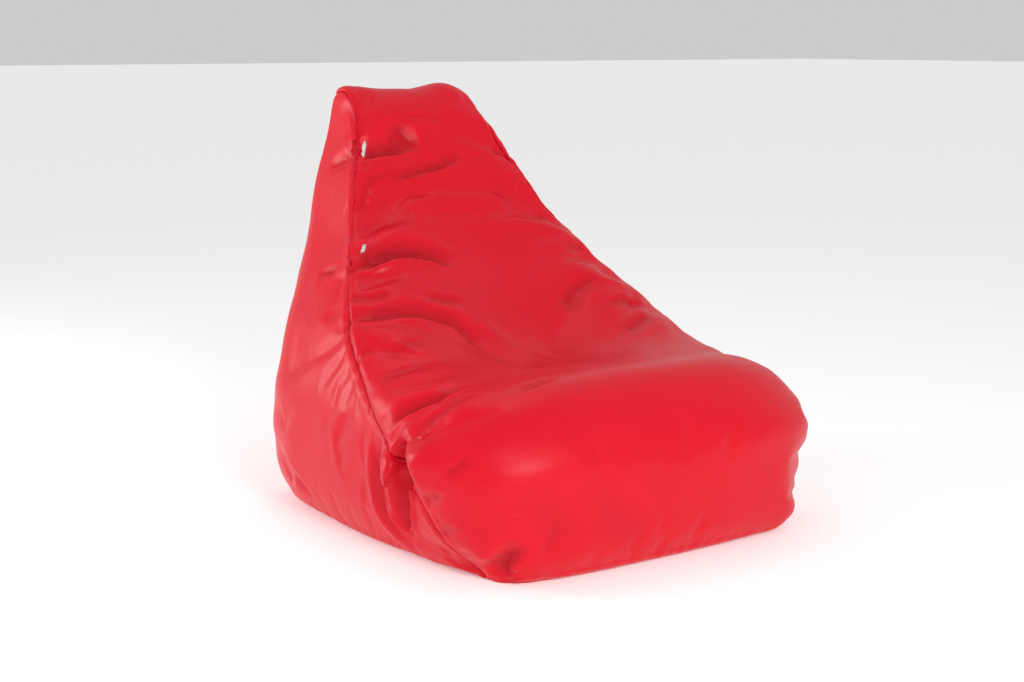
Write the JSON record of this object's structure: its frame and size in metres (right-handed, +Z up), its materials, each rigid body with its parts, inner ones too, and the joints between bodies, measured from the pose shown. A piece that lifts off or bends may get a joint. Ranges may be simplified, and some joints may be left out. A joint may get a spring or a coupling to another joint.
{
  "type": "bean bag lounger",
  "caption": "Low bean bag lounger: a wedge-shaped seat with a high back rest, sewn from flat cloth panels over a bead-filled liner, with a zip in the lower back.",
  "frame": {"origin": "on the floor, in the middle of the bag's width and depth", "axes": "+Z up, the seat faces -Y, the zips run along X in the rear wall"},
  "size_m": [0.84, 1, 0.8],
  "materials": {
    "cover_cloth": "satin",
    "liner_cloth": "matte",
    "cover_zip_tape": "matte",
    "cover_zip_teeth": "satin",
    "liner_zip_tape": "matte",
    "liner_zip_teeth": "satin",
    "zip_metal": "satin",
    "bead_fill": "matte",
    "label_cloth": "satin"
  },
  "bodies": {
    "bag": {"cover_base_panel": "cover_cloth", "cover_left_side_panel": "cover_cloth", "cover_right_side_panel": "cover_cloth", "cover_front_panel": "cover_cloth", "cover_back_panel": "cover_cloth", "cover_lower_back_panel": "cover_cloth", "liner_base_panel": "liner_cloth", "liner_left_side_panel": "liner_cloth", "liner_right_side_panel": "liner_cloth", "liner_front_panel": "liner_cloth", "liner_back_panel": "liner_cloth", "liner_lower_back_panel": "liner_cloth", "cover_zip_tape_upper": "cover_zip_tape", "cover_zip_tape_lower": "cover_zip_tape", "cover_zip_teeth_upper": "cover_zip_teeth", "cover_zip_teeth_lower": "cover_zip_teeth", "cover_zip_top_stops": "zip_metal", "cover_zip_bottom_stop": "zip_metal", "liner_zip_tape_upper": "liner_zip_tape", "liner_zip_tape_lower": "liner_zip_tape", "liner_zip_teeth_upper": "liner_zip_teeth", "liner_zip_teeth_lower": "liner_zip_teeth", "liner_zip_top_stops": "zip_metal", "liner_zip_bottom_stop": "zip_metal", "bead_fill": "bead_fill", "care_label": "label_cloth"},
    "zip_slider": {"cover_zip_slider": "zip_metal"},
    "zip_pull": {"cover_zip_pull": "zip_metal"},
    "liner_slider": {"liner_zip_slider": "zip_metal"}
  },
  "joints": [
    {"name": "cover_zip_slide", "type": "slide", "parent": "bag", "child": "zip_slider", "axis": [-1, 0, 0], "range_m": [0, 0.538]},
    {"name": "zip_pull_hinge", "type": "hinge", "parent": "zip_slider", "child": "zip_pull", "pos_m": [0.269, 0.4067, 0.11], "axis": [0, 0, -1], "range_deg": [0, 175]},
    {"name": "liner_zip_slide", "type": "slide", "parent": "bag", "child": "liner_slider", "axis": [-1, 0, 0], "range_m": [0, 0.478]}
  ]
}
